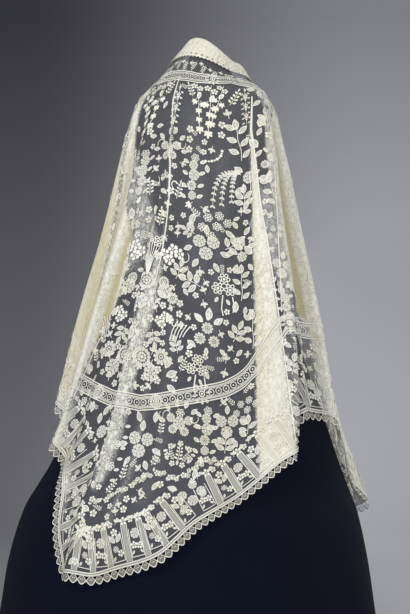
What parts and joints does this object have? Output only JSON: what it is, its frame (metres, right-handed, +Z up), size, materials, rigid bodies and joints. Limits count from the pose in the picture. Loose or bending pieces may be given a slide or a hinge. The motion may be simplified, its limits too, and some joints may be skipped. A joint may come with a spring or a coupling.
{
  "type": "lace shawl on a limbless dress form",
  "caption": "Three-cornered lace shawl draped in deep folds over a limbless dress form with a bell-shaped lower body.",
  "frame": {"origin": "on the floor, under the middle of the bell's foot", "axes": "+Z up, the wearer faces -Y, so the back of the shawl faces +Y and the wearer's left is +X"},
  "size_m": [0.966, 0.942, 1.5151],
  "materials": {
    "lace": "matte cream lace",
    "edging": "matte cream lace",
    "torso_cover": "smooth dark cloth",
    "bell_cover": "smooth dark cloth"
  },
  "bodies": {
    "root": {"left_front_edge_net": "lace", "left_front_net": "lace", "left_side_net": "lace", "left_back_rolls_net": "lace", "back_point_left_net": "lace", "back_point_middle_net": "lace", "back_point_right_net": "lace", "right_back_roll_net": "lace", "right_back_hollow_net": "lace", "right_side_net": "lace", "right_front_net": "lace", "left_front_edge_edging": "edging", "left_front_edging": "edging", "left_side_edging": "edging", "left_back_rolls_edging": "edging", "back_point_left_edging": "edging", "back_point_middle_edging": "edging", "back_point_right_edging": "edging", "right_back_roll_edging": "edging", "right_back_hollow_edging": "edging", "right_side_edging": "edging", "right_front_edging": "edging", "turned_over_collar": "edging", "form_torso": "torso_cover", "form_bell": "bell_cover"}
  },
  "joints": []
}
